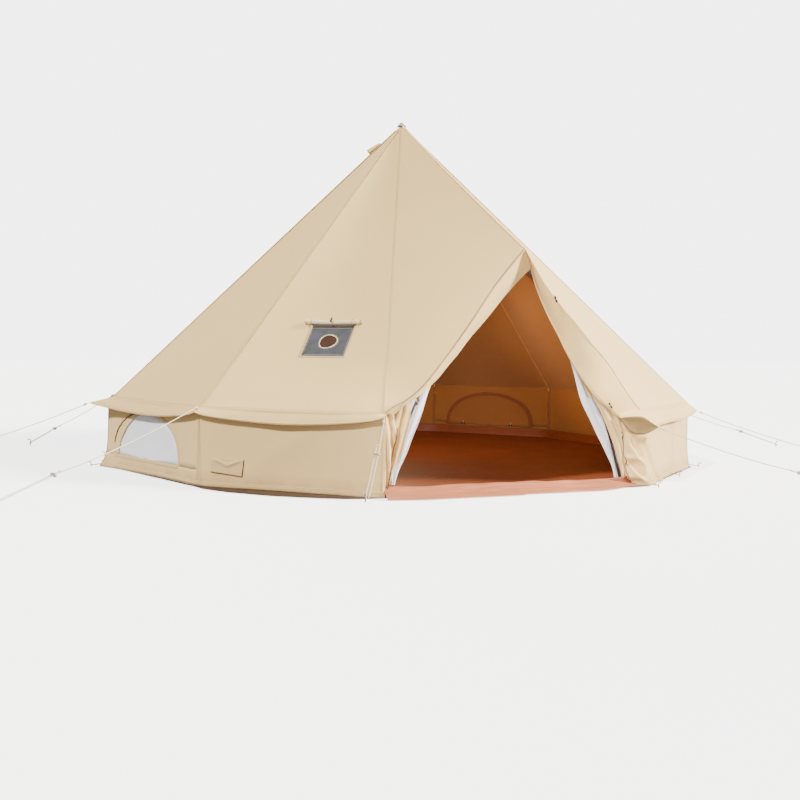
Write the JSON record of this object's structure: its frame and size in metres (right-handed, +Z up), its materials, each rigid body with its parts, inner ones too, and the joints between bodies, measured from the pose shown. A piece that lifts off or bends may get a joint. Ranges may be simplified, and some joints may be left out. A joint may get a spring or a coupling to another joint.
{
  "type": "bell tent",
  "caption": "Round canvas bell tent on a centre pole, with a low wall, a hooded A-frame door tied open, arched windows, a stove jack and pegged guy ropes.",
  "frame": {"origin": "on the ground under the centre pole, on the flat underside of the groundsheet", "axes": "+Z up; the door faces -Y; +X is to the right of someone looking in the +Y direction"},
  "size_m": [8.2217, 6.6383, 2.955],
  "materials": {
    "canvas": "plain cotton canvas, matt",
    "wall_canvas": "plain cotton canvas, matt",
    "cover_canvas": "cotton canvas seen from inside",
    "insect_mesh": "fine white net",
    "groundsheet": "woven coated sheet",
    "steel": "galvanised",
    "rubber": "matt",
    "crown": "heavy webbing and leather-like patch",
    "silicone": "silicone-coated glass cloth",
    "rope": "twisted cotton-polyester",
    "slider": "moulded"
  },
  "bodies": {
    "tent": {"centre_pole_foot": "rubber", "centre_pole_lower": "steel", "centre_pole_upper": "steel", "crown_cap": "crown", "door_pole_apex": "steel", "door_pole_left": "steel", "door_pole_right": "steel", "groundsheet": "groundsheet", "guy_peg_01": "steel", "guy_peg_02": "steel", "guy_peg_03": "steel", "guy_peg_04": "steel", "guy_peg_05": "steel", "guy_peg_06": "steel", "guy_peg_07": "steel", "guy_peg_08": "steel", "guy_peg_09": "steel", "guy_peg_10": "steel", "guy_peg_11": "steel", "guy_rope_01": "rope", "guy_rope_02": "rope", "guy_rope_03": "rope", "guy_rope_04": "rope", "guy_rope_05": "rope", "guy_rope_06": "rope", "guy_rope_07": "rope", "guy_rope_08": "rope", "guy_rope_09": "rope", "guy_rope_10": "rope", "guy_rope_11": "rope", "roof_canvas": "canvas", "stove_jack_patch": "silicone", "vent_hood_left": "canvas", "vent_hood_right": "canvas", "wall_canvas": "wall_canvas", "window_mesh_left_front": "insect_mesh", "window_mesh_left_rear": "insect_mesh", "window_mesh_right_front": "insect_mesh", "window_mesh_right_rear": "insect_mesh"},
    "door_flap_left": {"door_flap_left": "canvas"},
    "door_flap_right": {"door_flap_right": "canvas"},
    "mesh_door_left": {"mesh_door_left": "insect_mesh"},
    "mesh_door_right": {"mesh_door_right": "insect_mesh"},
    "window_cover_left_front": {"window_cover_left_front": "cover_canvas"},
    "window_cover_left_rear": {"window_cover_left_rear": "cover_canvas"},
    "window_cover_right_rear": {"window_cover_right_rear": "cover_canvas"},
    "window_cover_right_front": {"window_cover_right_front": "cover_canvas"},
    "stove_jack_flap": {"stove_jack_flap": "canvas"},
    "cable_flap": {"cable_flap": "wall_canvas"},
    "guy_slider_01": {"guy_slider_01": "slider"},
    "guy_slider_02": {"guy_slider_02": "slider"},
    "guy_slider_03": {"guy_slider_03": "slider"},
    "guy_slider_04": {"guy_slider_04": "slider"},
    "guy_slider_05": {"guy_slider_05": "slider"},
    "guy_slider_06": {"guy_slider_06": "slider"},
    "guy_slider_07": {"guy_slider_07": "slider"},
    "guy_slider_08": {"guy_slider_08": "slider"},
    "guy_slider_09": {"guy_slider_09": "slider"},
    "guy_slider_10": {"guy_slider_10": "slider"},
    "guy_slider_11": {"guy_slider_11": "slider"}
  },
  "joints": [
    {"name": "door_flap_left_hinge", "type": "hinge", "parent": "tent", "child": "door_flap_left", "pos_m": [-0.93, -2.262, 0.1], "axis": [-0.2701, 0, -0.9628], "range_deg": [0, 100]},
    {"name": "door_flap_right_hinge", "type": "hinge", "parent": "tent", "child": "door_flap_right", "pos_m": [0.93, -2.262, 0.1], "axis": [-0.2701, 0, 0.9628], "range_deg": [0, 100]},
    {"name": "mesh_door_left_hinge", "type": "hinge", "parent": "tent", "child": "mesh_door_left", "pos_m": [-0.905, -2.1, 0.1], "axis": [0.3864, 0, 0.9223], "range_deg": [0, 100]},
    {"name": "mesh_door_right_hinge", "type": "hinge", "parent": "tent", "child": "mesh_door_right", "pos_m": [0.905, -2.1, 0.1], "axis": [0.3864, 0, -0.9223], "range_deg": [0, 100]},
    {"name": "window_cover_left_front_hinge", "type": "hinge", "parent": "tent", "child": "window_cover_left_front", "pos_m": [-2.28279, -0.73323, 0.102], "axis": [-0.3335, 0.9428, 0], "range_deg": [-100, 0]},
    {"name": "window_cover_left_rear_hinge", "type": "hinge", "parent": "tent", "child": "window_cover_left_rear", "pos_m": [-1.7505, 1.63695, 0.102], "axis": [0.683, 0.7304, 0], "range_deg": [0, 100]},
    {"name": "window_cover_right_rear_hinge", "type": "hinge", "parent": "tent", "child": "window_cover_right_rear", "pos_m": [1.7505, 1.63695, 0.102], "axis": [0.683, -0.7304, 0], "range_deg": [0, 100]},
    {"name": "window_cover_right_front_hinge", "type": "hinge", "parent": "tent", "child": "window_cover_right_front", "pos_m": [2.25945, -0.79922, 0.102], "axis": [-0.3335, -0.9428, 0], "range_deg": [0, 100]},
    {"name": "stove_jack_flap_hinge", "type": "hinge", "parent": "tent", "child": "stove_jack_flap", "pos_m": [-1.09213, -1.45574, 1.14249], "axis": [0.7745, -0.6326, 0], "range_deg": [0, 90]},
    {"name": "cable_flap_hinge", "type": "hinge", "parent": "tent", "child": "cable_flap", "pos_m": [-1.86563, -1.5792, 0.205], "axis": [-0.7745, 0.6326, 0], "range_deg": [0, 110]},
    {"name": "guy_slider_01_slide", "type": "slide", "parent": "tent", "child": "guy_slider_01", "axis": [-0.2727, -0.1693, -0.9471], "range_m": [0, 0.05]},
    {"name": "guy_slider_02_slide", "type": "slide", "parent": "tent", "child": "guy_slider_02", "axis": [-0.8323, -0.455, -0.3167], "range_m": [0, 0.12]},
    {"name": "guy_slider_03_slide", "type": "slide", "parent": "tent", "child": "guy_slider_03", "axis": [-0.9447, -0.0634, -0.3217], "range_m": [0, 0.12]},
    {"name": "guy_slider_04_slide", "type": "slide", "parent": "tent", "child": "guy_slider_04", "axis": [-0.7684, 0.399, -0.5005], "range_m": [0, 0.12]},
    {"name": "guy_slider_05_slide", "type": "slide", "parent": "tent", "child": "guy_slider_05", "axis": [-0.4495, 0.7399, -0.5005], "range_m": [0, 0.12]},
    {"name": "guy_slider_06_slide", "type": "slide", "parent": "tent", "child": "guy_slider_06", "axis": [0, 0.8658, -0.5005], "range_m": [0, 0.12]},
    {"name": "guy_slider_07_slide", "type": "slide", "parent": "tent", "child": "guy_slider_07", "axis": [0.4495, 0.7399, -0.5005], "range_m": [0, 0.12]},
    {"name": "guy_slider_08_slide", "type": "slide", "parent": "tent", "child": "guy_slider_08", "axis": [0.7684, 0.399, -0.5005], "range_m": [0, 0.12]},
    {"name": "guy_slider_09_slide", "type": "slide", "parent": "tent", "child": "guy_slider_09", "axis": [0.9496, -0.0637, -0.3069], "range_m": [0, 0.12]},
    {"name": "guy_slider_10_slide", "type": "slide", "parent": "tent", "child": "guy_slider_10", "axis": [0.7836, -0.5511, -0.2868], "range_m": [0, 0.12]},
    {"name": "guy_slider_11_slide", "type": "slide", "parent": "tent", "child": "guy_slider_11", "axis": [0.8093, -0.5117, -0.2885], "range_m": [0, 0.12]}
  ]
}
